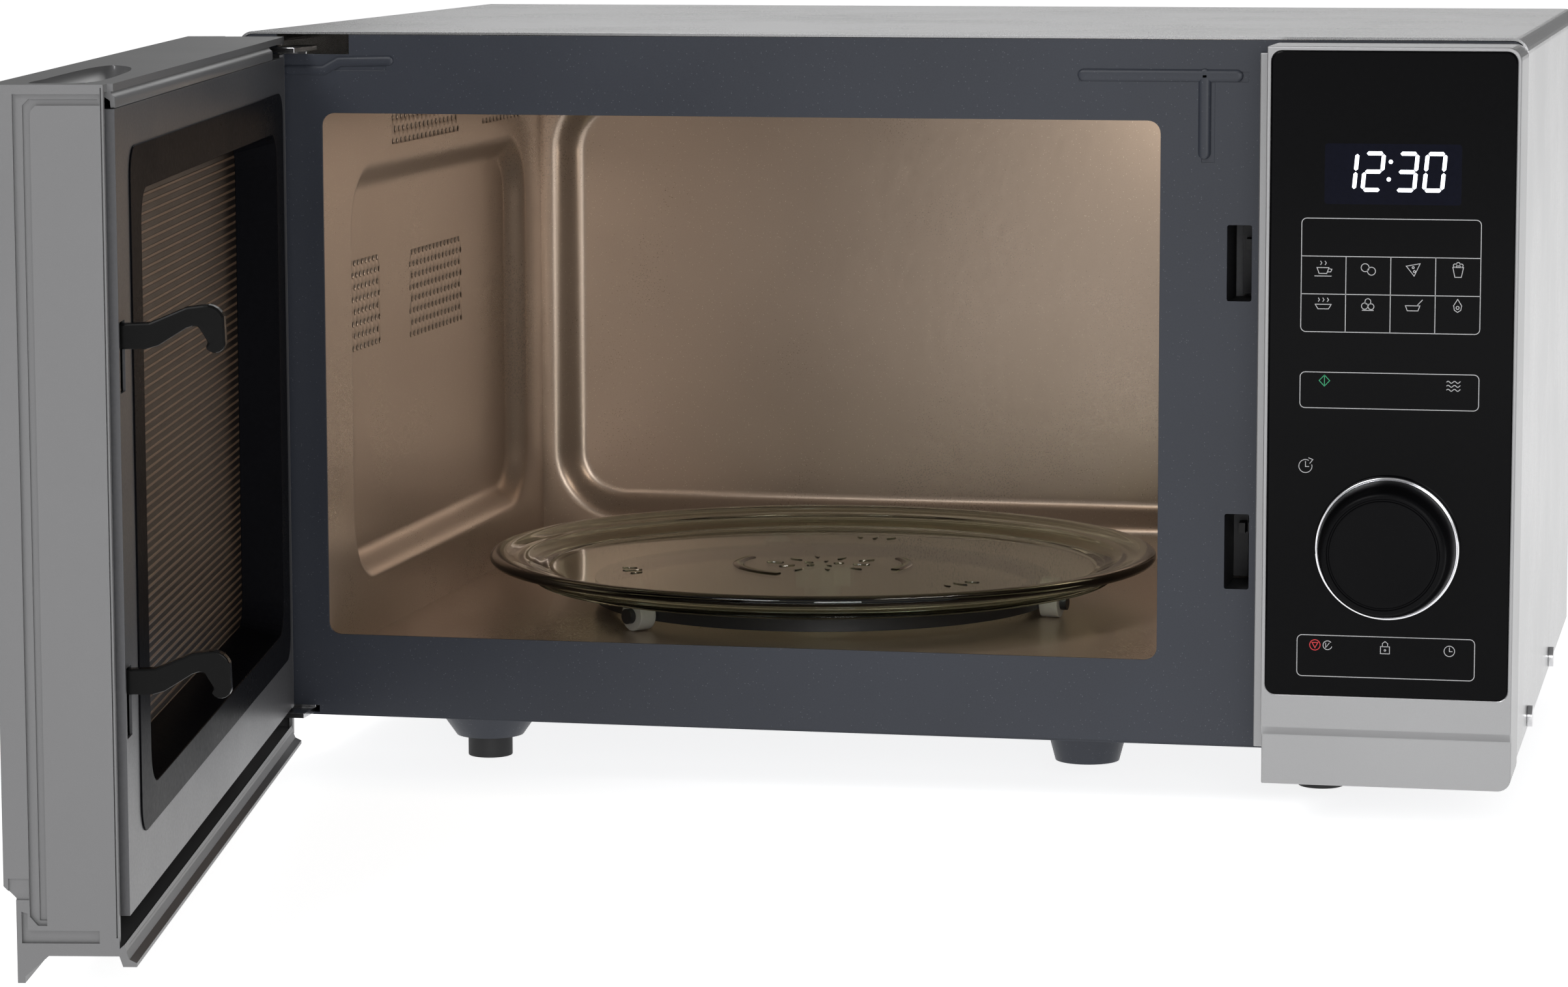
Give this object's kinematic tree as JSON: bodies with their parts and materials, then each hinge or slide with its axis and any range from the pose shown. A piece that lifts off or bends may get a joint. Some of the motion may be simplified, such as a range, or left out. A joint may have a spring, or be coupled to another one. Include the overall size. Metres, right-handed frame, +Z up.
{
  "type": "microwave oven",
  "caption": "Countertop microwave oven with a side-hinged door standing open, a glass turntable on rollers, latch hooks, and a control panel with a jog dial.",
  "frame": {"origin": "middle of the bottom of the box round the whole oven with its door open 80 degrees, on the surface that the feet stand on", "axes": "+X to the user's right, +Y from the door to the back, +Z up"},
  "size_m": [0.5348, 0.7866, 0.304],
  "materials": {
    "cabinet_paint": "satin silver-grey paint",
    "zinc_plate": "plain zinc-plated sheet",
    "front_enamel": "dark blue-grey speckled enamel, gloss",
    "cavity_enamel": "champagne-brown metallic enamel, gloss",
    "mica": "pale mica sheet",
    "foot_rubber": "moulded black",
    "black_plastic": "moulded black",
    "screw_steel": "bright zinc-plated steel",
    "magnet_steel": "bare pressed aluminium",
    "copper_anode": "bare copper",
    "filter_box": "plain pressed box",
    "core_steel": "varnished steel laminations",
    "enamelled_copper": "enamelled copper wire, taped",
    "diode_epoxy": "black epoxy",
    "fan_plastic": "moulded off-white",
    "lamp_glass": "clear bulb",
    "board_green": "printed circuit board",
    "grey_plastic": "moulded dark grey",
    "switch_plastic": "moulded black",
    "plunger_plastic": "moulded black",
    "panel_silver": "satin silver paint on plastic",
    "panel_gloss": "gloss black sheet",
    "knob_black": "gloss black with a chrome ring",
    "pale_plastic": "moulded pale plastic",
    "tray_glass": "clear toughened glass, faintly green",
    "door_silver": "satin silver-grey paint on plastic",
    "door_glass": "black backed gloss glass",
    "door_steel": "painted sheet steel",
    "choke_black": "gloss black moulding",
    "mesh_black": "black perforated sheet behind clear film",
    "latch_black": "black acetal",
    "bush_acetal": "ivory acetal"
  },
  "bodies": {
    "chassis": {"outer_cabinet": "cabinet_paint", "base_plate": "front_enamel", "rubber_feet": "foot_rubber", "front_plate": "front_enamel", "cavity_left_wall": "cavity_enamel", "cavity_right_wall": "cavity_enamel", "cavity_ceiling": "cavity_enamel", "cavity_floor": "cavity_enamel", "cavity_back_wall": "cavity_enamel", "rear_panel": "cabinet_paint", "rear_spacers": "black_plastic", "cord_inlet": "black_plastic", "case_screws": "screw_steel", "waveguide": "zinc_plate", "waveguide_cover": "mica", "magnetron_yoke": "zinc_plate", "magnetron_fins": "magnet_steel", "magnetron_anode": "copper_anode", "magnetron_filter": "filter_box", "transformer_core": "core_steel", "primary_winding": "enamelled_copper", "secondary_winding": "enamelled_copper", "capacitor": "magnet_steel", "capacitor_clamp": "zinc_plate", "diode": "diode_epoxy", "fan_motor": "zinc_plate", "fan_shroud": "black_plastic", "lamp_holder": "black_plastic", "lamp_bulb": "lamp_glass", "thermal_cutouts": "black_plastic", "filter_board": "board_green", "latch_board": "grey_plastic", "upper_switch": "switch_plastic", "lower_switch": "switch_plastic", "monitor_switch": "switch_plastic", "panel_housing": "panel_silver", "panel_window": "panel_gloss", "control_board": "board_green", "jog_encoder": "switch_plastic", "turntable_motor": "zinc_plate", "hinge_brackets": "screw_steel"},
    "door": {"door_cover": "door_silver", "door_front_glass": "door_glass", "door_frame": "door_steel", "choke_cover": "choke_black", "mesh_screen": "mesh_black", "latch_spring": "screw_steel", "hinge_bushes": "bush_acetal"},
    "latch": {"latch_lever": "latch_black"},
    "turntable": {"drive_coupler": "pale_plastic", "glass_tray": "tray_glass"},
    "roller_ring": {"roller_ring": "black_plastic"},
    "roller_1": {"roller_1": "pale_plastic"},
    "roller_2": {"roller_2": "pale_plastic"},
    "roller_3": {"roller_3": "pale_plastic"},
    "knob": {"jog_knob": "knob_black"},
    "fan": {"fan_blade": "fan_plastic"},
    "upper_plunger": {"upper_plunger": "plunger_plastic"},
    "lower_plunger": {"lower_plunger": "plunger_plastic"},
    "monitor_plunger": {"monitor_plunger": "plunger_plastic"}
  },
  "joints": [
    {"name": "door_hinge", "type": "hinge", "parent": "chassis", "child": "door", "pos_m": [-0.23665, 0.01028, 0.15], "axis": [0, 0, 1], "range_deg": [-20, 80]},
    {"name": "latch_slide", "type": "slide", "parent": "door", "child": "latch", "axis": [0, 0, -1], "range_m": [0, 0.007], "stiffness_N_per_m": 200, "springref_m": -0.005, "deforming": ["latch_spring"]},
    {"name": "turntable_spin", "type": "hinge", "parent": "chassis", "child": "turntable", "pos_m": [-0.04515, 0.19528, 0.0643], "axis": [0, 0, 1], "continuous": true},
    {"name": "roller_ring_spin", "type": "hinge", "parent": "chassis", "child": "roller_ring", "pos_m": [-0.04515, 0.19528, 0.0575], "axis": [0, 0, 1], "continuous": true},
    {"name": "roller_1_spin", "type": "hinge", "parent": "roller_ring", "child": "roller_1", "pos_m": [0.05708, 0.18273, 0.0575], "axis": [0.9925, -0.1219, 0], "continuous": true},
    {"name": "roller_2_spin", "type": "hinge", "parent": "roller_ring", "child": "roller_2", "pos_m": [-0.10714, 0.11302, 0.0575], "axis": [-0.6018, -0.7986, 0], "continuous": true},
    {"name": "roller_3_spin", "type": "hinge", "parent": "roller_ring", "child": "roller_3", "pos_m": [-0.0854, 0.29009, 0.0575], "axis": [-0.3907, 0.9205, 0], "continuous": true},
    {"name": "knob_turn", "type": "hinge", "parent": "chassis", "child": "knob", "pos_m": [0.21685, -0.01972, 0.113], "axis": [0, 1, 0], "continuous": true},
    {"name": "fan_spin", "type": "hinge", "parent": "chassis", "child": "fan", "pos_m": [0.194, 0.35128, 0.175], "axis": [0, 1, 0], "continuous": true},
    {"name": "upper_plunger_slide", "type": "slide", "parent": "chassis", "child": "upper_plunger", "axis": [0, 1, 0], "range_m": [0, 0.0012], "stiffness_N_per_m": 400, "springref_m": -0.002},
    {"name": "lower_plunger_slide", "type": "slide", "parent": "chassis", "child": "lower_plunger", "axis": [0, 1, 0], "range_m": [0, 0.0012], "stiffness_N_per_m": 400, "springref_m": -0.002},
    {"name": "monitor_plunger_slide", "type": "slide", "parent": "chassis", "child": "monitor_plunger", "axis": [0, 1, 0], "range_m": [0, 0.0012], "stiffness_N_per_m": 400, "springref_m": -0.002}
  ],
  "couplings": [
    {"joint": "roller_ring_spin", "follows": "turntable_spin", "ratio": 0.5},
    {"joint": "roller_1_spin", "follows": "turntable_spin", "ratio": -7.9231},
    {"joint": "roller_2_spin", "follows": "turntable_spin", "ratio": -7.9231},
    {"joint": "roller_3_spin", "follows": "turntable_spin", "ratio": -7.9231}
  ]
}
